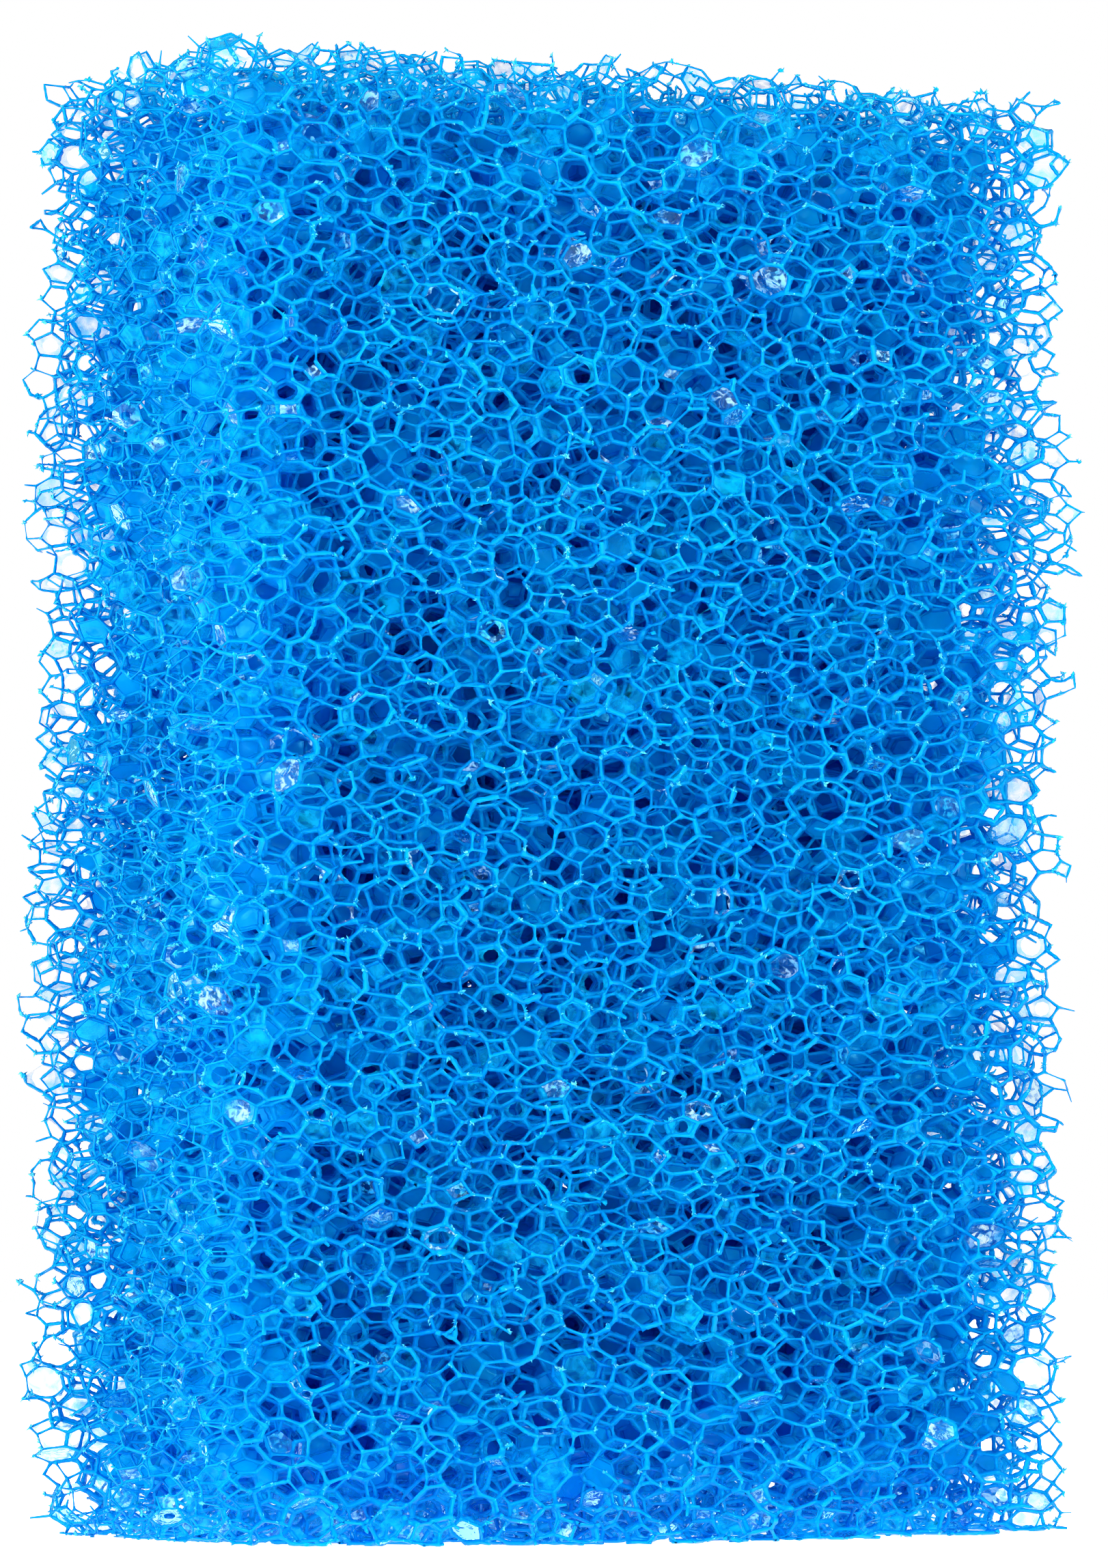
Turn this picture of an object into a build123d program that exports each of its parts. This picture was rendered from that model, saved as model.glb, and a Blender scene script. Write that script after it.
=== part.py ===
"""Coarse filter foam block of a sponge filter, standing upright on its end.

The object is one block of open-cell foam, cut square on all six sides. Its only motion is
that it can be squeezed flat through its thickness and springs back. A rigid solid can't do
that, so the block is made as three zones of the same foam that meet face to face:

    foam_rear    the layer against the back face, which stays where it is
    foam_core    the foam between, which shortens when the block is squeezed
    foam_front   the layer at the front face, which a hand presses towards the back

Frame: millimetres, X across the width, Y through the thickness from front to back,
Z up, with the origin at the centre of the bottom face.
"""

import os

from build123d import *

# The block
WIDTH = 100.0
THICKNESS = 45.0
HEIGHT = 150.0

# One layer of whole cells at each wide face keeps its thickness when the block is squeezed
CELL = 5.0
FACE_LAYER = CELL
CORE = THICKNESS - 2 * FACE_LAYER

# A firm squeeze by hand leaves two fifths of the thickness
SQUEEZED_SHARE = 0.4
SQUEEZE_TRAVEL = THICKNESS * (1 - SQUEEZED_SHARE)

# Zones from the front face to the back face: name and thickness
ZONES = (
    ("foam_front", FACE_LAYER),
    ("foam_core", CORE),
    ("foam_rear", FACE_LAYER),
)


def foam_zone(name, front_y, thickness):
    """A full-width, full-height slab of the block, from front_y towards the back."""
    with BuildPart() as zone:
        with BuildSketch(Plane.XY):
            with Locations((0, front_y + thickness / 2)):
                Rectangle(WIDTH, thickness)
        extrude(amount=HEIGHT)
    solid = zone.part.solids()[0]
    solid.label = name
    return solid


def foam_zones():
    """Every zone of the block, by name, laid face to face through the thickness."""
    zones = {}
    front_y = -THICKNESS / 2
    for name, thickness in ZONES:
        zones[name] = foam_zone(name, front_y, thickness)
        front_y += thickness
    return zones


if SQUEEZE_TRAVEL >= CORE:
    raise ValueError("the core is too thin to take up the whole squeeze")

os.makedirs("parts", exist_ok=True)
for zone_name, zone_solid in foam_zones().items():
    export_step(zone_solid, os.path.join("parts", zone_name + ".step"))
    print(f"{zone_name}: {zone_solid.volume / 1000:.1f} cm3")
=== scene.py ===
"""The looks of a coarse blue filter foam block, with its real open-cell skeleton.

The foam is grown the way foam is. Cell centres are packed at random. A node is a corner where
four cells meet, a strut is an edge that three cells share, and a window is a face that two
cells share. Many windows keep a skin, whole, torn or with a round hole blown in it. The six
cuts of the block end the skeleton. Lengths are in metres, in the frame of the CAD.
"""

import copy
import math

import bpy
import numpy as np
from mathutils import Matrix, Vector


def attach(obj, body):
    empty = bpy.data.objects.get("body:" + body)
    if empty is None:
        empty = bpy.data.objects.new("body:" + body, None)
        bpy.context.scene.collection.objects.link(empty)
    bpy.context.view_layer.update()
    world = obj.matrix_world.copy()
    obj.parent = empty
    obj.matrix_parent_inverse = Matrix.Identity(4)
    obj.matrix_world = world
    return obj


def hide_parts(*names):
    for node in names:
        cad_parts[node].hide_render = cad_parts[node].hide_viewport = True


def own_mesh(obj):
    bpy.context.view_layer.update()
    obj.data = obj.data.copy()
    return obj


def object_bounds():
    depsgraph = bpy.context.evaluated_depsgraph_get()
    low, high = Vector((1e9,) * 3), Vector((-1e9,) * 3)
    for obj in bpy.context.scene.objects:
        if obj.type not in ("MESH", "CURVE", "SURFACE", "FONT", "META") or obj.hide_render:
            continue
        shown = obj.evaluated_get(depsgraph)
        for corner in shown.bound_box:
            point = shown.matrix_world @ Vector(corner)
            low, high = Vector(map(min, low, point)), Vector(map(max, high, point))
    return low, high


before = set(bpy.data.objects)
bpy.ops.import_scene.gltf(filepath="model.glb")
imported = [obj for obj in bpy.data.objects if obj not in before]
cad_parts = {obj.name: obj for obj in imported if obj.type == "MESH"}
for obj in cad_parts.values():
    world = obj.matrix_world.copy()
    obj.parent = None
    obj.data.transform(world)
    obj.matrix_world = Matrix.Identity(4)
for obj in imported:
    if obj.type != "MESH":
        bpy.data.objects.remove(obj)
cad_low, cad_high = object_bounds()

BLOCK_LOW = np.array(cad_low)
BLOCK_HIGH = np.array(cad_high)
BLOCK_MIDDLE = (BLOCK_LOW + BLOCK_HIGH) / 2
BLOCK_HALF = (BLOCK_HIGH - BLOCK_LOW) / 2

# The foam's cells
SEED = 7
CELL = 0.0046  # between the centres of neighbouring cells, across
SQUAT = 0.82  # a cell's height over its width
STRETCH = np.array([1, 1, SQUAT])  # from the packing's space, where cells are as high as wide
CELL_SHARE = 0.74  # a cell's volume over that of a cube one CELL wide
SIZE_SPREAD = 0.19  # how much the cells differ in size, and the limits of that
SIZE_LIMITS = (0.60, 1.40)
MARGIN = 1.6 * CELL  # how far the foam is grown past the cuts

# How the cells are packed: those that are too close push each other apart, step by step
PACKING_STEPS = 24
PACKED_GAP = 1.12 * CELL  # closer cells of the usual size push
PACKING_PUSH = 0.18  # how far each is moved in one step, over what the gap is short of
PACKING_REACH = 1.5 * PACKED_GAP  # within which a cell's neighbours are looked for
PACKING_NEIGHBOURS = 20
STEPS_PER_SEARCH = 4

# How nodes are found between the cells
WIDEST_SPHERE = 0.98 * CELL  # the largest that four neighbouring centres can lie on
FLAT_VOLUME = 1e-16  # four centres that enclose less than this lie in one plane
NODE_REACH = 2.2 * CELL  # within which a cell's neighbours are looked for
NODE_NEIGHBOURS = 48
ROUNDING = 1e-9  # as a share of a squared radius
SHORTEST = 1e-12  # these two keep lengths that are divided by above zero
LEAST_GAP = 1e-9
POINTS_AT_ONCE = 4000  # these three limit the memory in use
CELLS_AT_ONCE = 400
NEIGHBOURS_AT_ONCE = 4

# How surface tension then draws the nodes together
TENSION_ROUNDS = 4
TENSION_PULL = 0.5

# The cuts
CUT_WANDER = 0.0006  # how unevenly a face is cut
WAVES = 7
LONGEST_WAVE = 0.040
SHORTEST_WAVE = 0.010
BOTTOM_CROWN = 0.0007  # how far the bottom's ends are off the ground
PRESSED = 0.0014  # foam this little below the bottom cut is pressed up flat instead
HEART_DEPTH = 2 * CELL  # foam is kept where it hangs together with nodes this deep
LOOSE_ROUNDS = 2  # how often the nodes that hang by one strut are taken off
STUB_SHARE = 0.13  # of the cut struts, those left standing as stubs
SHORTEST_STUB = 0.0003
STUB_RINGS = ((0.3, 1.0), (0.7, 0.85), (1.0, 0.65))  # share of a stub's length, width
BROKEN_SHARE = 0.04  # of the struts near a face, those snapped halfway
BROKEN_REACH = (0.1, 0.7)  # the share of its length that is left of one

# The struts, which are three-sided, and the nodes, whose webs reach towards the windows
STRUT_RADIUS = 0.00023
STRUT_SPREAD = 0.24  # of the radius, as a share, from strut to strut
THIN_SHARE = 0.43  # how thin a strut is at the ends of the block, over one inside
THIN_DEPTH = 0.006  # how far in from the ends that thinning goes
DETAIL_DEPTH = 0.0065  # struts deeper than this below every face are plain
LONG_STRUT = 0.0013  # longer ones near a face have three rings of points
SHORT_STRUT = 0.0007  # and longer ones than this have one
FLARE = 0.00045  # the length over which a strut widens into its node
FLARE_LIMITS = (0.12, 0.35)  # of that, as a share of the strut
FLARE_WIDTH = 1.12  # the width there, over STRUT_RADIUS
WAIST_WIDTH = 0.92  # the width halfway along
SHORT_WIDTH = 1.15  # the width of a short strut
NODE_RADIUS = 0.00033
INNER_NODE_RADIUS = 0.00028
NODE_SPREAD = (0.75, 1.35)  # the least and the most, over that radius
LONGEST_WEB = 0.4  # of the way from a node to a window's middle

# Hazy skins
WRINKLE = 0.00018  # how far a skin's points are off its window
RIM_INSET = 0.0001  # from a strut's middle line to where the skin starts
LARGEST_INSET = 0.2  # and the most that it is, as a share of the way to the middle
NARROWEST_BAND = 0.02  # of a skin round a hole, as a share of the same
EDGE_STEPS = 2  # points along each side of a skin near a face
FOLD = 0.5  # where a whole skin has a ring of points, as a share of the way to the rim
HAZY_SHARE = 0.14  # of the windows at a face, those that keep a hazy skin
DEEP_HAZY_SHARE = 0.34  # and of those at HAZY_DEPTH, where such skins end
HAZY_DEPTH = 0.0085
END_HAZE = 0.26  # this share more of them at the ends of the block
END_DEPTH = 0.018  # which falls to nothing this far in
WHOLE_SHARE = 0.30  # of the hazy skins, those with no hole
HAZY_HOLES = (0.65, 0.98)  # the least and the largest, over the narrowest part of the window

# Cloudy skins, deeper in
OPEN_DEPTH = 0.0072  # from here in, more and more windows have a cloudy skin
CLOSED_DEPTH = 0.0125  # and from here in, these shares of them
CLOUDY_SHARE = 0.52  # whole
CLOUDY_RIM_SHARE = 0.25  # with a hole
DEEPEST_SKIN = 0.0205
END_HASTE = 0.9  # how much sooner, as a share, they begin at the ends
CLOUDY_HOLES = (0.6, 0.95)
CLOUDY_FOLD = 0.55
CLOUDY_CROWN = 1.5 * WRINKLE  # how far the middle is off its window

# Pale films
FILM_DEPTH = 0.0050
FILM_SHARE = 0.060  # of the windows near a face, those with a pale wrinkled film
SMALL_FILM_SHARE = 0.16  # the same for small windows
SMALL_SIDES = 4  # which have no more sides than this
BOTTOM_FILM_SHARE = 0.10  # and for large and small windows at the bottom
BOTTOM_SMALL_FILM_SHARE = 0.75
BOTTOM_BAND = 0.005
WHOLE_FILMS = 0.45  # of the films, those with no hole
UNTORN_FILMS = 0.55  # and those with no hole or a round one; the rest are torn back
FILM_HOLES = (0.3, 0.8)
TORN_EDGE = (0.55, 0.97)  # where a torn film ends, as a share of the way to the rim
TORN_WRINKLE = 0.00012
UNTORN_WRINKLE = 0.3  # as a share of that
FILM_DOME = 0.00022  # how far a film bulges
FILM_CROWN = 0.0002  # how far its middle is off that

# The burrs where a cut tore through a strut, and the crumbs left on struts near a face
BURR_SHARE = 0.26
CRUMB_SHARE = 0.22
CRUMB_DEPTH = 0.0030
CRUMB_LENGTH = 0.18  # of the strut, either way, along which a crumb's fibres are strewn
FIBRES_PER_CRUMB = (3, 8)  # the least, and one more than the most
FIBRE_LONG = (0.0002, 0.0006)
FIBRE_THICK = (0.00012, 0.00027)
FIBRE_OUTWARD = 0.2  # how much a fibre leans away from the block, over its random lean
FIBRE_ALONG = 1.6  # and along its strut
FIBRE_TURNS = (0, 2.1, 4.2)  # the three sides of a fibre
FIBRE_FLATNESS = 0.35  # its thickness over its width
BEND_AT = 0.55  # of a fibre's length
BEND_ASIDE = 0.3
BEND_WIDTH = 0.8
TIP_ASIDE = 0.5

LEVELS = 18  # the skeleton is stored as this many pieces, one above the other
SKIN_LEVELS = 3

# Colours, as red, green, blue and alpha
FOAM_COLOURS = ((0.0, 0.475, 0.988, 1), (0.0, 0.56, 0.992, 1))
FOAM_GLINT = (0.06, 0.80, 1.0, 1)
SOAKED_SHARE = 0.45  # of the light that foam takes up, the part that soaks through
HAZE_COLOUR = (0.0, 0.52, 0.96, 1)
HAZE_GLINT = (0.15, 0.75, 1.0, 1)
# the film's own azure, and a pale colour painted in patches as a reflection of the lights
FILM_AZURE_AND_PAINTED_REFLECTION = ((0.02, 0.52, 0.95, 1), (0.46, 0.79, 1.0, 1))
FILM_GLINT = (0.25, 0.85, 1.0, 1)
FILM_CLEAR = (0.70, 0.92, 1.0, 1)
FILM_GLOSS = (0.40, 0.82, 1.0, 1)
# the torn foam's blue, and a pale cyan painted in patches as glints
TORN_BLUE_AND_PAINTED_GLINT = ((0.0, 0.54, 0.99, 1), (0.14, 0.78, 1.0, 1))
TORN_GLINT = (0.2, 0.85, 1.0, 1)
WHITE = (1, 1, 1, 1)
FLOOR_COLOUR = (0.92, 0.92, 0.92, 1)
MIRRORED_COLOUR = (0.22, 0.72, 1.0, 1)
SOFTBOX_COLOUR = (1.0, 1.0, 0.94)

# The light all round, by where it comes from and what it meets
FRONT_LIGHT = 0.55
BACK_LIGHT = 0.14
MIRRORED_LIGHT = 0.8
FLOOR_LIGHT = 0.95
FLOOR_REACH = 4

# Where each softbox stands, how wide it is and its watts
SOFTBOXES = {
    "left_softbox": ((-1.1, -0.5, 0.55), 1.0, 17.5),
    "right_softbox": ((0.5, -1.3, 0.9), 0.5, 12),
}

# The camera stands in front of the left front corner, low, and looks slightly up
TURN = math.radians(26.5)
DISTANCE = 0.880
CAMERA_HEIGHT = 0.0292
AIM = math.radians(26.5 + 2.17)
PITCH = math.radians(3.0)
LENS = 205.8

# How often light may bounce in the foam
CLOUDY_BOUNCES = 20
CLEAR_BOUNCES = 24
ALL_BOUNCES = 28
PIXEL_FILTER = 1.1

# The six pairs of the four cells at a node; each pair shares a window
PAIRS = np.array([(0, 1), (0, 2), (0, 3), (1, 2), (1, 3), (2, 3)])
PAIRS_WITH_CELL = np.array([(0, 1, 2), (0, 3, 4), (1, 3, 5), (2, 4, 5)])
PAIRS_WITHOUT_CELL = np.array([(3, 4, 5), (1, 2, 5), (0, 2, 4), (0, 1, 3)])
OFF_NORMAL = (0.3, 0.2, 0.93)  # a direction that no window's normal is quite along

rng = np.random.default_rng(SEED)
WAVE_WAYS = rng.normal(0, 1, (WAVES, 3))
WAVE_STARTS = rng.uniform(0, 2 * math.pi, WAVES)


def lengths(vectors):
    """The length of each vector."""
    return np.linalg.norm(vectors, axis=-1)


def unit(vectors):
    """Each vector made one long, and left at zero where it is zero."""
    return vectors / np.maximum(lengths(vectors), SHORTEST)[..., None]


def dot(one, two):
    """The dot product of each vector with its partner."""
    return (one * two).sum(-1)


def facing(corners):
    """A vector at right angles to each row of three corners."""
    return np.cross(corners[:, 1] - corners[:, 0], corners[:, 2] - corners[:, 0])


def near_points(points, reach, most):
    """For each point, up to most others within reach, nearest first; -1 where there are fewer."""
    bins = np.floor((points - points.min(0)) / reach).astype(int) + 1
    shape = bins.max(0) + 2
    key = (bins[:, 0] * shape[1] + bins[:, 1]) * shape[2] + bins[:, 2]
    order = np.argsort(key, kind="stable")
    counts = np.bincount(key, minlength=int(np.prod(shape)))
    first = np.cumsum(counts) - counts
    room = np.arange(counts.max())
    around = np.stack(np.meshgrid(*[(-1, 0, 1)] * 3, indexing="ij"), -1).reshape(-1, 3)
    steps = (around[:, 0] * shape[1] + around[:, 1]) * shape[2] + around[:, 2]
    found = np.full((len(points), most), -1)
    for start in range(0, len(points), POINTS_AT_ONCE):
        mine = np.arange(start, min(start + POINTS_AT_ONCE, len(points)))
        homes = key[mine][:, None] + steps
        held = (room < counts[homes][..., None]).reshape(len(mine), -1)
        at = np.minimum(first[homes][..., None] + room, len(points) - 1)
        others = order[at.reshape(len(mine), -1)]
        far = lengths(points[others] - points[mine][:, None])
        far[~held | (others == mine[:, None]) | (far > reach)] = np.inf
        nearest = np.argpartition(far, most, axis=1)[:, :most]
        far = np.take_along_axis(far, nearest, 1)
        in_order = np.argsort(far, axis=1)
        nearest = np.take_along_axis(nearest, in_order, 1)
        others = np.take_along_axis(others, nearest, 1)
        others[np.isinf(np.take_along_axis(far, in_order, 1))] = -1
        found[mine] = others
    return found


def packed_cells():
    """Cell centres packed at random and evenly, in a space where cells are as high as wide."""
    half = (BLOCK_HALF + MARGIN) / STRETCH
    count = int(np.prod(2 * half) / (CELL_SHARE * CELL**3))
    cells = rng.uniform(-half, half, (count, 3))
    size = np.clip(rng.normal(1, SIZE_SPREAD, count), *SIZE_LIMITS)
    for step in range(PACKING_STEPS):
        if step % STEPS_PER_SEARCH == 0:
            near = near_points(cells, PACKING_REACH, PACKING_NEIGHBOURS)
        away = cells[:, None] - cells[near]
        gap = np.maximum(lengths(away), LEAST_GAP)
        wanted = PACKED_GAP * (size[:, None] + size[near]) / 2
        push = np.where((near >= 0) & (gap < wanted), (wanted - gap) / gap, 0)
        cells += PACKING_PUSH * (away * push[..., None]).sum(1)
        cells = np.clip(cells, -half, half)
    return cells


def small_triangles(offset, real):
    """Pairs of neighbours that make a small enough triangle with the cell at the origin."""
    a, b = np.triu_indices(offset.shape[1], 1)
    to_a, to_b = offset[:, a], offset[:, b]
    doubled_area = (np.cross(to_a, to_b) ** 2).sum(2)
    sides = dot(to_a, to_a) * dot(to_b, to_b) * dot(to_a - to_b, to_a - to_b)
    small = sides < 4 * WIDEST_SPHERE**2 * doubled_area
    row, pair = np.nonzero(real[:, a] & real[:, b] & small)
    return row, a[pair], b[pair]


def with_third(row, a, b, width):
    """Each pair with every third neighbour that makes a small triangle with both."""
    joined = np.zeros((row.max() + 1, width, width), bool)
    joined[row, a, b] = True
    which, c = np.nonzero(joined[row, a] & joined[row, b])
    return row[which], a[which], b[which], c


def sphere_middles(to_a, to_b, to_c):
    """The middle of the sphere through the origin and three points, and whether it is real."""
    b_cross_c = np.cross(to_b, to_c)
    volume = 2 * dot(to_a, b_cross_c)
    solid = np.abs(volume) > FLAT_VOLUME
    middle = dot(to_a, to_a)[:, None] * b_cross_c
    middle += dot(to_b, to_b)[:, None] * np.cross(to_c, to_a)
    middle += dot(to_c, to_c)[:, None] * np.cross(to_a, to_b)
    return middle / np.where(solid, volume, 1)[:, None], solid


def nodes_between(cells):
    """Every four cells that meet in a node, and its place: the spheres that touch four centres
    and hold none."""
    near = near_points(cells, NODE_REACH, NODE_NEIGHBOURS)
    fours = []
    places = []
    for start in range(0, len(cells), CELLS_AT_ONCE):
        mine = np.arange(start, min(start + CELLS_AT_ONCE, len(cells)))
        later = near[mine] > mine[:, None]
        width = later.sum(1).max()
        if width < 3:
            continue
        later_first = np.argsort(~later, axis=1, kind="stable")[:, :width]
        others = np.take_along_axis(near[mine], later_first, 1)
        real = np.take_along_axis(later, later_first, 1)
        offset = cells[others] - cells[mine][:, None]
        row, a, b, c = with_third(*small_triangles(offset, real), width)
        middle, solid = sphere_middles(offset[row, a], offset[row, b], offset[row, c])
        squared_radius = dot(middle, middle)
        everyone = cells[near[mine]] - cells[mine][:, None]
        everyone[near[mine] < 0] = 1  # a metre off, outside every sphere
        empty = np.flatnonzero(solid & (squared_radius < WIDEST_SPHERE**2))
        for k in range(0, near.shape[1], NEIGHBOURS_AT_ONCE):
            some = everyone[row[empty], k : k + NEIGHBOURS_AT_ONCE]
            to_some = some - middle[empty][:, None]
            limit = squared_radius[empty][:, None] * (1 - ROUNDING)
            empty = empty[~(dot(to_some, to_some) < limit).any(1)]
        row, a, b, c = row[empty], a[empty], b[empty], c[empty]
        fours.append(np.stack([mine[row], others[row, a], others[row, b], others[row, c]], 1))
        places.append(middle[empty] + cells[mine[row]])
    return np.sort(np.concatenate(fours), axis=1), np.concatenate(places)


def struts_between(fours, cell_count):
    """Pairs of nodes that share three cells, as node, slot, node, slot: a slot says which of a
    node's four cells the strut points away from."""
    threes = np.concatenate([np.delete(fours, slot, axis=1) for slot in range(4)])
    node = np.tile(np.arange(len(fours)), 4)
    slot = np.repeat(np.arange(4), len(fours))
    key = (threes[:, 0] * cell_count + threes[:, 1]) * cell_count + threes[:, 2]
    order = np.argsort(key, kind="stable")
    same = key[order][1:] == key[order][:-1]
    one, two = order[:-1][same], order[1:][same]
    return node[one], slot[one], node[two], slot[two]


def relaxed(places, one, two):
    """Moves each node towards the middle of its neighbours, as surface tension does in foam."""
    ends = np.concatenate([one, two])
    count = np.bincount(ends, minlength=len(places))
    for _ in range(TENSION_ROUNDS):
        total = np.zeros_like(places)
        for axis in range(3):
            other = np.concatenate([places[two, axis], places[one, axis]])
            total[:, axis] = np.bincount(ends, other, minlength=len(places))
        moved = places + TENSION_PULL * (total / np.maximum(count, 1)[:, None] - places)
        places = np.where((count == 4)[:, None], moved, places)
    return places


def waves(points):
    """A smooth random value from about -1 to 1 for each point."""
    total = np.zeros(points.shape[:-1])
    for k in range(WAVES):
        wavelength = SHORTEST_WAVE * (LONGEST_WAVE / SHORTEST_WAVE) ** (k / (WAVES - 1))
        way = unit(WAVE_WAYS[k])
        total += np.sin(2 * math.pi / wavelength * (points @ way) + WAVE_STARTS[k])
    return total / math.sqrt(WAVES)


def bottom_height(points):
    """The height of the bottom cut, which is slightly crowned across the width."""
    return BLOCK_LOW[2] + BOTTOM_CROWN * (points[..., 0] / BLOCK_HALF[0]) ** 2


def depth_below_cuts(points):
    """How far points are inside the nearest of the six cuts, which wander: negative outside."""
    place = points - BLOCK_MIDDLE
    inside = BLOCK_HALF - np.abs(place) - CUT_WANDER * waves(points)[..., None]
    inside[..., 2] = np.where(place[..., 2] > 0, inside[..., 2], np.inf)
    return np.minimum(inside.min(-1), points[..., 2] - bottom_height(points))


def pressed_flat(places):
    """The places, with those just below the bottom cut moved up onto it."""
    floor = bottom_height(places) + STRUT_RADIUS
    pressed = (places[:, 2] < floor) & (places[:, 2] > floor - PRESSED)
    height = np.where(pressed, floor, places[:, 2])
    return np.stack([places[:, 0], places[:, 1], height], 1)


def thinning(points):
    """How thick struts are at points, over the usual: less near the two sides and the top."""
    side = BLOCK_HALF[0] - np.abs(points[..., 0] - BLOCK_MIDDLE[0])
    end = np.minimum(side, BLOCK_HIGH[2] - points[..., 2])
    return THIN_SHARE + (1 - THIN_SHARE) * np.clip(end / THIN_DEPTH, 0, 1)


def nearness_to_ends(points):
    """From 1 at the block's sides, top and bottom to 0 at END_DEPTH inside them."""
    inside = (BLOCK_HALF - np.abs(points - BLOCK_MIDDLE))[..., [0, 2]].min(-1)
    return np.clip(1 - inside / END_DEPTH, 0, 1)


class Foam:
    """The grown foam and what the cuts leave of it."""

    def __init__(self):
        cells = packed_cells()
        self.fours, places = nodes_between(cells)
        self.struts = struts_between(self.fours, len(cells))
        self.one, _, self.two, _ = self.struts
        places = relaxed(places, self.one, self.two)
        self.cells = cells * STRETCH + BLOCK_MIDDLE
        self.places = pressed_flat(places * STRETCH + BLOCK_MIDDLE)
        self.find_windows()
        self.depth = depth_below_cuts(self.places)
        four = np.bincount(np.concatenate([self.one, self.two]), minlength=len(places)) == 4
        self.kept = self.hanging_together((self.depth > 0) & four)
        self.drop_loose_ends()

    def find_windows(self):
        """The window of each of a node's six pairs of cells, and each window's middle and size."""
        pairs = self.fours[:, PAIRS]
        key = pairs[..., 0] * len(self.cells) + pairs[..., 1]
        _, window = np.unique(key, return_inverse=True)
        self.window = window.reshape(key.shape)
        flat = self.window.ravel()
        self.window_size = np.bincount(flat)
        sums = [np.bincount(flat, np.repeat(self.places[:, k], len(PAIRS))) for k in range(3)]
        self.window_middle = np.stack(sums, 1) / self.window_size[:, None]

    def hanging_together(self, kept):
        """The kept nodes that are joined by struts to the middle of the block."""
        reached = kept & (self.depth > HEART_DEPTH)
        both = kept[self.one] & kept[self.two]
        a, b = self.one[both], self.two[both]
        before = 0
        while reached.sum() > before:
            before = reached.sum()
            reached[b[reached[a]]] = True
            reached[a[reached[b]]] = True
        return reached

    def drop_loose_ends(self):
        """Takes off the nodes that hang by a single strut."""
        for _ in range(LOOSE_ROUNDS):
            both = self.kept[self.one] & self.kept[self.two]
            ends = np.concatenate([self.one[both], self.two[both]])
            joined = np.bincount(ends, minlength=len(self.places))
            self.kept = self.kept & (joined >= 2)


class Surface:
    """Points and triangles gathered part by part, each triangle with its part's height."""

    def __init__(self):
        self.points = []
        self.triangles = []
        self.heights = []
        self.count = 0

    def add_points(self, spots):
        """Adds spots, an array of xyz rows of any shape, and returns their numbers."""
        numbers = self.count + np.arange(spots[..., 0].size).reshape(spots.shape[:-1])
        self.points.append(spots.reshape(-1, 3))
        self.count += numbers.size
        return numbers

    def add_triangles(self, corners, heights, turned=False):
        """Adds rows of three point numbers, the other way round where turned."""
        corners = np.where(np.reshape(turned, (-1, 1)), corners[:, ::-1], corners)
        self.triangles.append(corners)
        self.heights.append(heights)

    def add_tube(self, low_ring, high_ring, heights, turned):
        """Joins rings of three points by six triangles."""
        for k in range(3):
            n = (k + 1) % 3
            p, q, r, s = low_ring[:, k], low_ring[:, n], high_ring[:, n], high_ring[:, k]
            self.add_triangles(np.stack([p, q, r], 1), heights, turned)
            self.add_triangles(np.stack([p, r, s], 1), heights, turned)

    def gathered(self):
        """All points, none of them below the bottom cut, all triangles and their heights."""
        points = np.concatenate(self.points)
        points[:, 2] = np.maximum(points[:, 2], bottom_height(points))
        return points, np.concatenate(self.triangles), np.concatenate(self.heights)


def add_nodes(surface, foam):
    """Each node's six web points and the small faces towards its four cells. Returns the
    points' numbers, one row for each node of the whole foam."""
    nodes = np.flatnonzero(foam.kept)
    places = foam.places[nodes]
    fine = foam.depth[nodes] < DETAIL_DEPTH
    radius = np.where(fine, NODE_RADIUS, INNER_NODE_RADIUS) * rng.uniform(*NODE_SPREAD, len(nodes))
    radius *= thinning(places)
    toward = foam.window_middle[foam.window[nodes]] - places[:, None]
    web = np.minimum(radius[:, None], LONGEST_WEB * lengths(toward))
    spots = places[:, None] + unit(toward) * web[..., None]
    numbers = np.full((len(foam.places), len(PAIRS)), -1)
    numbers[nodes] = surface.add_points(spots)
    for cell, three in enumerate(PAIRS_WITH_CELL):
        outward = foam.cells[foam.fours[nodes, cell]] - places
        turned = dot(facing(spots[:, three]), outward) < 0
        surface.add_triangles(numbers[nodes][:, three], places[:, 2], turned)
    return numbers


def round_strut(per_node, node, slot):
    """The three entries round the strut that leaves each node away from the cell in its slot."""
    return per_node[node[:, None], PAIRS_WITHOUT_CELL[slot]]


class Struts:
    """Struts that leave a kept node, as arrays with one row for each strut."""

    def __init__(self, foam, node_points, start, slot, end):
        self.base = foam.places[start]
        self.along = foam.places[end] - self.base
        self.long = lengths(self.along)
        self.first_ring = round_strut(node_points, start, slot)
        self.around = foam.window_middle[round_strut(foam.window, start, slot)]
        self.turned = dot(facing(self.around), self.along) < 0
        spread = np.exp(rng.normal(0, STRUT_SPREAD, len(start)))
        self.radius = STRUT_RADIUS * thinning(self.base) * spread

    def some(self, chosen):
        """The chosen struts, with their own radii kept."""
        fewer = copy.copy(self)
        for name, values in vars(self).items():
            setattr(fewer, name, values[chosen])
        return fewer

    def ring(self, surface, share, scale):
        """Adds three points round each strut, at a share of its length."""
        spot = self.base + self.along * share[:, None]
        axis = unit(self.along)[:, None]
        out = self.around - spot[:, None]
        out = unit(out - dot(out, axis)[..., None] * axis)
        return surface.add_points(spot[:, None] + out * (scale * self.radius)[:, None, None])

    def add_rings(self, surface, rings):
        """Adds tubes from the node through rings, each a share and a scale, and returns the
        last ring."""
        below = self.first_ring
        for share, scale in rings:
            above = self.ring(surface, share, scale)
            surface.add_tube(below, above, self.base[:, 2], self.turned)
            below = above
        return below


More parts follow.
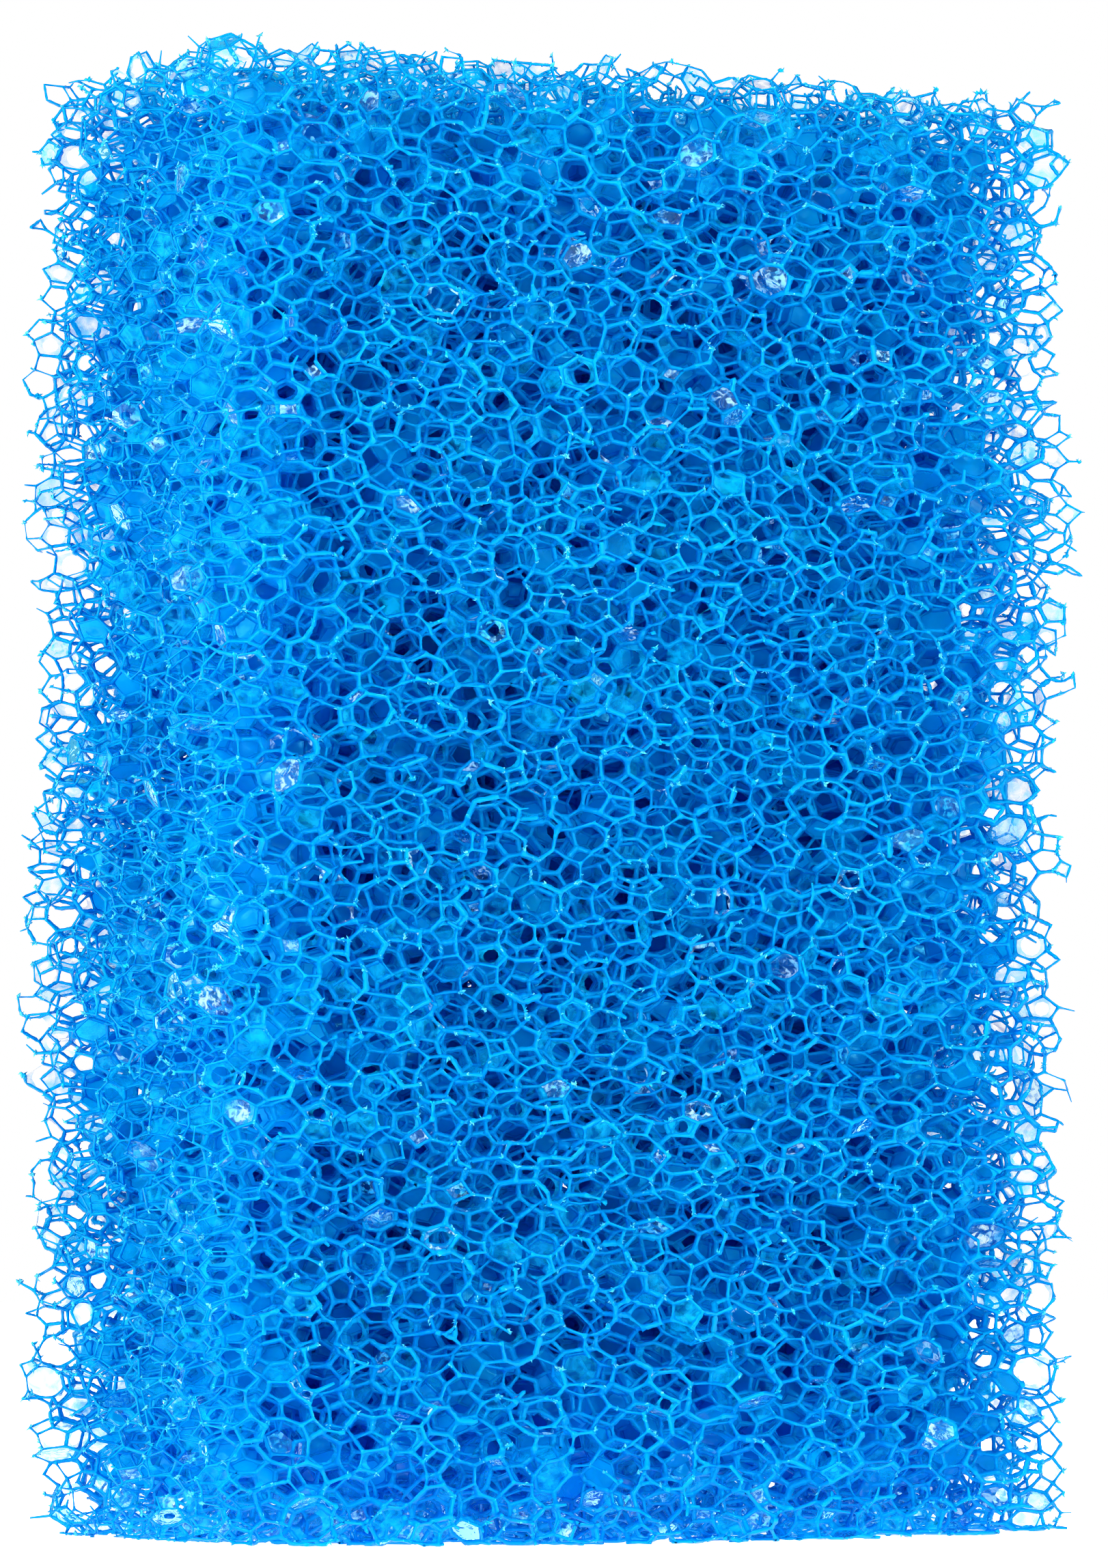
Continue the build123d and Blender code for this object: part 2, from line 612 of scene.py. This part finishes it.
def add_full_struts(surface, foam, node_points, whole):
    """The struts that go from node to node. Returns them, and how deep the deeper end is."""
    one, one_slot, two, two_slot = (values[whole] for values in foam.struts)
    full = Struts(foam, node_points, one, one_slot, two)
    full.last_ring = round_strut(node_points, two, two_slot)
    fine = np.minimum(foam.depth[one], foam.depth[two]) < DETAIL_DEPTH
    long = fine & (full.long > LONG_STRUT)
    short = fine & (full.long > SHORT_STRUT) & ~long
    flare = np.clip(FLARE / full.long[long], *FLARE_LIMITS)
    halfway = np.full(long.sum(), 0.5)
    long_rings = ((flare, FLARE_WIDTH), (halfway, WAIST_WIDTH), (1 - flare, FLARE_WIDTH))
    short_rings = ((np.full(short.sum(), 0.5), SHORT_WIDTH),)
    for chosen, rings in ((long, long_rings), (short, short_rings), (~long & ~short, ())):
        struts = full.some(chosen)
        below = struts.add_rings(surface, rings)
        surface.add_tube(below, struts.last_ring, struts.base[:, 2], struts.turned)
    return full, np.maximum(foam.depth[one], foam.depth[two])


def add_short_struts(surface, foam, node_points, whole):
    """The struts that leave a kept node and end at a cut or a break, as a stub or flush with the
    node. Returns where those with a burr end."""
    one, one_slot, two, two_slot = foam.struts
    from_one = foam.kept[one] & ~whole
    from_two = foam.kept[two] & ~whole
    start = np.concatenate([one[from_one], two[from_two]])
    slot = np.concatenate([one_slot[from_one], two_slot[from_two]])
    end = np.concatenate([two[from_one], one[from_two]])
    short = Struts(foam, node_points, start, slot, end)
    drop = np.maximum(foam.depth[start] - foam.depth[end], LEAST_GAP)
    broken = foam.kept[end]
    left = rng.uniform(*BROKEN_REACH, len(start))
    reach = np.where(broken, left, np.clip(foam.depth[start] / drop, 0, 1))
    at_bottom = foam.places[start, 2] < BLOCK_LOW[2] + CELL
    stands = (rng.random(len(start)) < STUB_SHARE) | at_bottom
    stands &= reach * short.long > SHORTEST_STUB
    stubs = short.some(stands)
    rings = [(reach[stands] * share, scale) for share, scale in STUB_RINGS]
    surface.add_triangles(stubs.add_rings(surface, rings), stubs.base[:, 2], stubs.turned)
    flush = short.some(~stands)
    surface.add_triangles(flush.first_ring, flush.base[:, 2], flush.turned)
    burred = ~broken & (rng.random(len(start)) < BURR_SHARE) & ~at_bottom
    return (short.base + short.along * np.where(stands, reach, 0)[:, None])[burred]


def crumbs_on(struts, depth):
    """Where crumbs sit on struts near a face: the middle and half the stretch of each."""
    crumbed = (depth < CRUMB_DEPTH) & (rng.random(len(depth)) < CRUMB_SHARE)
    middles = rng.uniform(CRUMB_LENGTH, 1 - CRUMB_LENGTH, (crumbed.sum(), 1))
    along = struts.along[crumbed]
    return struts.base[crumbed] + along * middles, along * CRUMB_LENGTH


def add_struts(surface, foam, node_points):
    """All struts. Returns where the foam was torn, and half of each place's stretch."""
    one, _, two, _ = foam.struts
    snapped = (foam.depth[one] < DETAIL_DEPTH) & (rng.random(len(one)) < BROKEN_SHARE)
    whole = foam.kept[one] & foam.kept[two] & ~snapped
    full, depth = add_full_struts(surface, foam, node_points, whole)
    burrs = add_short_struts(surface, foam, node_points, whole)
    crumbs, stretches = crumbs_on(full, depth)
    return np.concatenate([burrs, crumbs]), np.concatenate([0 * burrs, stretches])


class Skins:
    """The outlines of chosen windows, whose nodes are all kept, in order round each window."""

    def __init__(self, foam, chosen, steps):
        whole = np.bincount(foam.window[foam.kept].ravel(), minlength=len(foam.window_size))
        chosen = chosen & (whole == foam.window_size)
        node, pair = np.nonzero(chosen[foam.window] & foam.kept[:, None])
        window = foam.window[node, pair]
        cells = foam.cells[foam.fours[node[:, None], PAIRS[pair]]]
        normal = unit(cells[:, 1] - cells[:, 0])
        spoke = foam.places[node] - foam.window_middle[window]
        side = unit(np.cross(normal, OFF_NORMAL))
        angle = np.arctan2(dot(spoke, np.cross(normal, side)), dot(spoke, side))
        order = np.lexsort((angle, window))
        window, normal, spoke = window[order], normal[order], spoke[order]
        first = np.flatnonzero(np.append(True, window[1:] != window[:-1]))
        sizes = np.diff(np.append(first, len(window)))
        following = np.arange(len(window)) + 1
        following[first + sizes - 1] = first

        # steps points along each side
        share = (np.arange(steps) / steps)[:, None]
        sides = spoke[:, None] * (1 - share) + spoke[following][:, None] * share
        self.spoke = sides.reshape(-1, 3)
        self.reach = lengths(self.spoke)
        self.skin = np.repeat(np.arange(len(first)), sizes * steps)
        self.following = np.arange(len(self.spoke)) + 1
        self.following[(first + sizes) * steps - 1] = first * steps
        self.narrowest = np.minimum.reduceat(self.reach, first * steps)
        self.middle = foam.window_middle[window[first]]
        self.normal = normal[first]
        self.count = len(first)
        self.rim_share = 1 - np.minimum(RIM_INSET / self.reach, LARGEST_INSET)

    def spots(self, share, lift):
        """Points at a share of the way from each middle to the rim, lifted off the window."""
        rise = self.normal[self.skin] * lift[:, None]
        return self.middle[self.skin] + self.spoke * share[:, None] + rise

    def add_band(self, surface, inner, lift):
        """A band of skin from the rim in to a share of each spoke. Returns that inner edge."""
        rim = surface.add_points(self.spots(self.rim_share, 0 * self.reach))
        inner = np.minimum(inner, self.rim_share - NARROWEST_BAND)
        edge = surface.add_points(self.spots(inner, lift))
        height = self.middle[self.skin, 2]
        outer = np.stack([rim, rim[self.following], edge[self.following]], 1)
        surface.add_triangles(outer, height)
        surface.add_triangles(np.stack([rim, edge[self.following], edge], 1), height)
        return edge

    def add_middle(self, surface, edge, lift, chosen=slice(None)):
        """Closes each skin inside its edge."""
        top = surface.add_points(self.middle + self.normal * lift[:, None])[self.skin]
        corners = np.stack([edge, edge[self.following], top], 1)[chosen]
        surface.add_triangles(corners, self.middle[self.skin, 2][chosen])


def round_holes(skins, sizes):
    """For each point of the rim, the share of its spoke at which a round hole begins."""
    share = rng.uniform(*sizes, skins.count)
    return (share * skins.narrowest)[skins.skin] / skins.reach


def add_cloudy_skins(surface, foam):
    """Cloudy skins, whole and holed, which close the view through the block."""
    depth = depth_below_cuts(foam.window_middle)
    depth *= 1 + END_HASTE * nearness_to_ends(foam.window_middle)
    closing = np.clip((depth - OPEN_DEPTH) / (CLOSED_DEPTH - OPEN_DEPTH), 0, 1)
    closing = np.where(depth < DEEPEST_SKIN, closing, 0)
    draw = rng.random(len(depth))
    closed = draw < closing * CLOUDY_SHARE
    holed = ~closed & (draw < closing * (CLOUDY_SHARE + CLOUDY_RIM_SHARE))
    rimmed = Skins(foam, holed, 1)
    rimmed.add_band(surface, round_holes(rimmed, CLOUDY_HOLES), 0 * rimmed.reach)
    whole = Skins(foam, closed, 1)
    lift = rng.normal(0, WRINKLE, len(whole.reach))
    edge = whole.add_band(surface, CLOUDY_FOLD * whole.rim_share, lift)
    whole.add_middle(surface, edge, rng.normal(0, CLOUDY_CROWN, whole.count))


def hazy_skins(foam):
    """Thin skins near a face, more of them further in: rims round their holes, and whole ones."""
    surface = Surface()
    depth = depth_below_cuts(foam.window_middle)
    share = HAZY_SHARE + (DEEP_HAZY_SHARE - HAZY_SHARE) * np.clip(depth / HAZY_DEPTH, 0, 1)
    share += END_HAZE * nearness_to_ends(foam.window_middle)
    chosen = (depth < HAZY_DEPTH) & (rng.random(len(depth)) < share)
    skins = Skins(foam, chosen, EDGE_STEPS)
    whole = (rng.random(skins.count) < WHOLE_SHARE)[skins.skin]
    inner = np.where(whole, FOLD, round_holes(skins, HAZY_HOLES))
    lift = np.where(whole, WRINKLE, WRINKLE / 2) * rng.normal(0, 1, len(whole))
    edge = skins.add_band(surface, inner, lift)
    skins.add_middle(surface, edge, rng.normal(0, WRINKLE, skins.count), whole)
    return surface


def pale_films(foam):
    """Wrinkled pale films in windows near a face: whole, holed or torn back."""
    surface = Surface()
    middle = foam.window_middle
    low = middle[:, 2] < BLOCK_LOW[2] + BOTTOM_BAND
    small = foam.window_size <= SMALL_SIDES
    share = np.where(small, SMALL_FILM_SHARE, FILM_SHARE)
    share = np.where(low, np.where(small, BOTTOM_SMALL_FILM_SHARE, BOTTOM_FILM_SHARE), share)
    near_face = depth_below_cuts(middle) < FILM_DEPTH
    skins = Skins(foam, near_face & (rng.random(len(middle)) < share), EDGE_STEPS)
    kind = rng.random(skins.count)[skins.skin]
    whole = kind < WHOLE_FILMS
    torn = kind > UNTORN_FILMS
    wrinkle = rng.normal(0, TORN_WRINKLE, len(skins.skin))
    ragged = rng.uniform(*TORN_EDGE, len(skins.skin))
    hole = round_holes(skins, FILM_HOLES)
    inner = np.where(whole, FOLD, np.where(torn, ragged, hole))
    dome = rng.normal(0, FILM_DOME, skins.count)[skins.skin]
    lift = dome * (1 - inner) + np.where(torn, 1.0, UNTORN_WRINKLE) * wrinkle
    edge = skins.add_band(surface, inner, lift)
    skins.add_middle(surface, edge, rng.normal(0, FILM_CROWN, skins.count), whole)
    return surface


def torn_fibres(places, stretches):
    """Clumps of short tapered fibres along the stretches of strut where the foam was torn."""
    surface = Surface()
    clump = np.repeat(np.arange(len(places)), rng.integers(*FIBRES_PER_CRUMB, len(places)))
    count = len(clump)
    ends = places[clump] + stretches[clump] * rng.uniform(-1, 1, (count, 1))
    place = (ends - BLOCK_MIDDLE) / BLOCK_HALF
    nearest = np.abs(place) == np.abs(place).max(1, keepdims=True)
    outward = np.where(nearest, np.sign(place), 0)
    way = rng.normal(0, 1, (count, 3)) + FIBRE_OUTWARD * outward
    way += FIBRE_ALONG * unit(stretches[clump]) * rng.choice((-1, 1), (count, 1))
    way = unit(way)
    long = rng.uniform(*FIBRE_LONG, (count, 1))
    thick = rng.uniform(*FIBRE_THICK, (count, 1))
    side = unit(np.cross(way, rng.normal(0, 1, (count, 3))))
    other = np.cross(way, side)
    aside = rng.uniform(-BEND_ASIDE, BEND_ASIDE, (count, 1))
    bend = ends + long * (BEND_AT * way + aside * side)
    tip = ends + long * (way + rng.uniform(-TIP_ASIDE, TIP_ASIDE, (count, 1)) * other)
    spokes = []
    for turn in FIBRE_TURNS:
        spokes.append(side * math.cos(turn) + FIBRE_FLATNESS * other * math.sin(turn))
    low = surface.add_points(np.stack([ends + thick * spoke for spoke in spokes], 1))
    high = surface.add_points(np.stack([bend + BEND_WIDTH * thick * spoke for spoke in spokes], 1))
    top = surface.add_points(tip)
    heights = ends[:, 2]
    surface.add_triangles(low[:, ::-1], heights)
    surface.add_tube(low, high, heights, False)
    for k in range(3):
        surface.add_triangles(np.stack([high[:, k], high[:, (k + 1) % 3], top], 1), heights)
    return surface


def with_inputs(node, values):
    """The node, with inputs set by their names."""
    for name, value in values.items():
        node.inputs[name].default_value = value
    return node


class Nodes:
    """The nodes of a material or the world, with short ways to add and join them."""

    def __init__(self, owner):
        owner.use_nodes = True
        self.tree = owner.node_tree
        self.link = owner.node_tree.links.new

    def add(self, kind, values=None):
        """A new node, with some inputs set."""
        return with_inputs(self.tree.nodes.new("ShaderNode" + kind), values or {})

    def named(self, name, values=None):
        """A node that is there from the start, with some inputs set."""
        return with_inputs(self.tree.nodes[name], values or {})

    def noise(self, place, values):
        """Noise fixed to the object that place belongs to. Returns its output."""
        node = self.add("TexNoise", values)
        self.link(place.outputs["Object"], node.inputs["Vector"])
        return node.outputs["Fac"]

    def mapped(self, value, low, high, from_low=0, from_high=1):
        """A value mapped from one range to another and kept inside it. Returns its output."""
        ranges = {"From Min": from_low, "From Max": from_high, "To Min": low, "To Max": high}
        node = self.add("MapRange", ranges)
        self.link(value, node.inputs["Value"])
        return node.outputs["Result"]

    def ramp(self, value, positions, colours):
        """A colour that goes from one to another between two positions. Returns its output."""
        node = self.add("ValToRGB")
        for element, position, colour in zip(node.color_ramp.elements, positions, colours):
            element.position = position
            element.color = colour
        self.link(value, node.inputs["Fac"])
        return node.outputs["Color"]

    def mixed(self, one, two, share=None):
        """Two shaders mixed, by a share from another output where there is one."""
        node = self.add("MixShader")
        self.link(one, node.inputs[1])
        self.link(two, node.inputs[2])
        if share is not None:
            self.link(share, node.inputs["Fac"])
        return node


def foam_material():
    """Satin blue polyurethane: uneven dye, uneven gloss, and light that soaks through."""
    material = bpy.data.materials.new("blue_foam")
    nodes = Nodes(material)
    satin = {"Specular IOR Level": 0.9, "Specular Tint": FOAM_GLINT}
    shader = nodes.named("Principled BSDF", satin)
    place = nodes.add("TexCoord")
    dye = nodes.noise(place, {"Scale": 110, "Detail": 3})
    colour = nodes.ramp(dye, (0.35, 0.68), FOAM_COLOURS)
    nodes.link(colour, shader.inputs["Base Color"])
    grain = nodes.noise(place, {"Scale": 1800})
    nodes.link(nodes.mapped(grain, low=0.10, high=0.30), shader.inputs["Roughness"])
    through = nodes.add("BsdfTranslucent")
    nodes.link(colour, through.inputs["Color"])
    both = nodes.mixed(shader.outputs["BSDF"], through.outputs["BSDF"])
    both.inputs["Fac"].default_value = SOAKED_SHARE
    nodes.link(both.outputs["Shader"], nodes.named("Material Output").inputs["Surface"])
    return material


def haze_material():
    """A thin skin: the foam's own blue, thinned to a haze."""
    material = bpy.data.materials.new("hazy_skin")
    nodes = Nodes(material)
    skin = {"Base Color": HAZE_COLOUR, "Roughness": 0.35}
    skin |= {"Specular IOR Level": 0.3, "Specular Tint": HAZE_GLINT}
    shader = nodes.named("Principled BSDF", skin)
    place = nodes.add("TexCoord")
    patch = nodes.noise(place, {"Scale": 650, "Detail": 3, "Distortion": 0.6})
    cloud = nodes.mapped(patch, low=0.04, high=0.60, from_low=0.38, from_high=0.65)
    nodes.link(cloud, shader.inputs["Alpha"])
    return material


def film_material():
    """A frosted film with clear specks, that glints where it is wrinkled; its azure has pale
    patches, a painted reflection of the lights.
    """
    material = bpy.data.materials.new("pale_film")
    nodes = Nodes(material)
    frost = nodes.named("Principled BSDF", {"Roughness": 0.3, "Specular Tint": FILM_GLINT})
    place = nodes.add("TexCoord")
    patch = nodes.noise(place, {"Scale": 320, "Detail": 1})
    # the pale patches in the film's azure are a painted reflection of the lights
    nodes.link(nodes.ramp(patch, (0.40, 0.58), FILM_AZURE_AND_PAINTED_REFLECTION), frost.inputs["Base Color"])
    speckle = nodes.noise(place, {"Scale": 1250, "Detail": 3, "Distortion": 0.8})
    cloud = nodes.mapped(speckle, low=0.03, high=0.85, from_low=0.48, from_high=0.62)
    clear = nodes.add("BsdfTransparent", {"Color": FILM_CLEAR})
    frosted = nodes.mixed(clear.outputs["BSDF"], frost.outputs["BSDF"], cloud)
    wrinkle = nodes.noise(place, {"Scale": 800, "Detail": 1, "Distortion": 1.2})
    bump = nodes.add("Bump", {"Strength": 0.6, "Distance": 0.0005})
    nodes.link(wrinkle, bump.inputs["Height"])
    gloss = nodes.add("BsdfGlossy", {"Color": FILM_GLOSS, "Roughness": 0.12})
    nodes.link(bump.outputs["Normal"], gloss.inputs["Normal"])
    edge_on = nodes.add("Fresnel", {"IOR": 1.4})
    nodes.link(bump.outputs["Normal"], edge_on.inputs["Normal"])
    both = nodes.mixed(frosted.outputs["Shader"], gloss.outputs["BSDF"], edge_on.outputs["Fac"])
    nodes.link(both.outputs["Shader"], nodes.named("Material Output").inputs["Surface"])
    return material


def fibre_material():
    """Torn foam, glossier than the struts, its blue patched with a pale cyan that is a painted
    glint.
    """
    material = bpy.data.materials.new("torn_foam")
    nodes = Nodes(material)
    torn = {"Roughness": 0.25, "Specular Tint": TORN_GLINT}
    shader = nodes.named("Principled BSDF", torn)
    patch = nodes.noise(nodes.add("TexCoord"), {"Scale": 600})
    # the pale cyan patches in the blue are painted glints
    nodes.link(nodes.ramp(patch, (0.4, 0.65), TORN_BLUE_AND_PAINTED_GLINT), shader.inputs["Base Color"])
    return material


def added(name, data):
    """A new object in the scene."""
    made = bpy.data.objects.new(name, data)
    bpy.context.scene.collection.objects.link(made)
    return made


def mesh_object(name, points, triangles, material):
    """A smooth-shaded mesh of the points that the triangles use."""
    used, triangles = np.unique(triangles, return_inverse=True)
    count = triangles.size // 3
    mesh = bpy.data.meshes.new(name)
    mesh.vertices.add(len(used))
    mesh.vertices.foreach_set("co", points[used].astype(np.float32).ravel())
    mesh.loops.add(triangles.size)
    mesh.loops.foreach_set("vertex_index", triangles.astype(np.int32).ravel())
    mesh.polygons.add(count)
    mesh.polygons.foreach_set("loop_start", np.arange(0, triangles.size, 3, dtype=np.int32))
    mesh.polygons.foreach_set("use_smooth", np.ones(count, bool))
    mesh.update(calc_edges=True)
    mesh.materials.append(material)
    return added(name, mesh)


def squeezed_pieces(name, surface, material, levels):
    """The surface as pieces one above the other, each on the root body with a mesh of its own."""
    points, triangles, heights = surface.gathered()
    edges = np.linspace(BLOCK_LOW[2], BLOCK_HIGH[2], levels + 1)
    level = np.clip(np.searchsorted(edges, heights) - 1, 0, levels - 1)
    pieces = []
    for k in range(levels):
        piece = mesh_object(f"{name}_{k + 1:02d}", points, triangles[level == k], material)
        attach(piece, "root")
        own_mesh(piece)
        pieces.append(piece)
    return pieces


def face(item, way):
    """Turns a camera or a light so that it looks along way."""
    item.rotation_mode = "QUATERNION"
    item.rotation_quaternion = way.to_track_quat("-Z", "Y")


def add_camera():
    """A long lens, which shows the front and, at a low angle, the left side."""
    camera = added("camera", bpy.data.cameras.new("camera"))
    camera.data.lens = LENS
    camera.location = (
        BLOCK_LOW[0] - DISTANCE * math.sin(TURN),
        BLOCK_LOW[1] - DISTANCE * math.cos(TURN),
        CAMERA_HEIGHT,
    )
    level = math.cos(PITCH)
    face(camera, Vector((math.sin(AIM) * level, math.cos(AIM) * level, math.sin(PITCH))))
    bpy.context.scene.camera = camera


def add_softbox(name, place, size, power):
    """A square light that faces the block's middle."""
    light = bpy.data.lights.new(name, "AREA")
    light.color = SOFTBOX_COLOUR
    light.energy = power
    light.size = size
    softbox = added(name, light)
    softbox.location = place
    face(softbox, Vector(BLOCK_MIDDLE) - softbox.location)


def add_world():
    """White to the camera, pale azure in reflections, and light that is weaker from behind."""
    world = bpy.data.worlds.new("world")
    bpy.context.scene.world = world
    nodes = Nodes(world)
    parts = nodes.add("SeparateXYZ")
    nodes.link(nodes.add("TexCoord").outputs["Generated"], parts.inputs["Vector"])
    power = nodes.mapped(parts.outputs["Y"], FRONT_LIGHT, BACK_LIGHT, from_low=-1, from_high=1)
    lit = nodes.named("Background", {"Color": WHITE})
    nodes.link(power, lit.inputs["Strength"])
    mirrored = nodes.add("Background", {"Color": MIRRORED_COLOUR, "Strength": MIRRORED_LIGHT})
    seen = nodes.add("Background", {"Color": WHITE, "Strength": 1.0})
    ray = nodes.add("LightPath")
    unseen = nodes.mixed(
        lit.outputs["Background"], mirrored.outputs["Background"], ray.outputs["Is Glossy Ray"]
    )
    either = nodes.mixed(
        unseen.outputs["Shader"], seen.outputs["Background"], ray.outputs["Is Camera Ray"]
    )
    nodes.link(either.outputs["Shader"], nodes.named("World Output").inputs["Surface"])


def add_floor():
    """A white ground that glows like the backdrop."""
    mesh = bpy.data.meshes.new("floor")
    turns = ((-1, -1), (1, -1), (1, 1), (-1, 1))
    corners = [(x * FLOOR_REACH, y * FLOOR_REACH, 0) for x, y in turns]
    mesh.from_pydata(corners, [], [(0, 1, 2, 3)])
    floor = added("floor", mesh)
    pale = bpy.data.materials.new("pale_floor")
    glow = {"Emission Color": WHITE, "Emission Strength": FLOOR_LIGHT}
    Nodes(pale).named("Principled BSDF", {"Base Color": FLOOR_COLOUR} | glow)
    mesh.materials.append(pale)


def set_rendering():
    """Plain colours, and enough bounces for light to soak through the foam."""
    scene = bpy.context.scene
    scene.view_settings.view_transform = "Standard"
    scene.cycles.diffuse_bounces = CLOUDY_BOUNCES
    scene.cycles.transmission_bounces = CLOUDY_BOUNCES
    scene.cycles.transparent_max_bounces = CLEAR_BOUNCES
    scene.cycles.max_bounces = ALL_BOUNCES
    scene.cycles.filter_width = PIXEL_FILTER


foam = Foam()
skeleton = Surface()
torn_places, torn_stretches = add_struts(skeleton, foam, add_nodes(skeleton, foam))
add_cloudy_skins(skeleton, foam)
levels = squeezed_pieces("foam_level", skeleton, foam_material(), LEVELS)
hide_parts("foam_front", "foam_core", "foam_rear")
squeezed_pieces("hazy_skins", hazy_skins(foam), haze_material(), SKIN_LEVELS)
squeezed_pieces("pale_films", pale_films(foam), film_material(), 1)
torn = torn_fibres(torn_places, torn_stretches)
squeezed_pieces("torn_fibres", torn, fibre_material(), SKIN_LEVELS)

add_camera()
add_world()
add_floor()
for name, (place, size, power) in SOFTBOXES.items():
    add_softbox(name, place, size, power)
set_rendering()
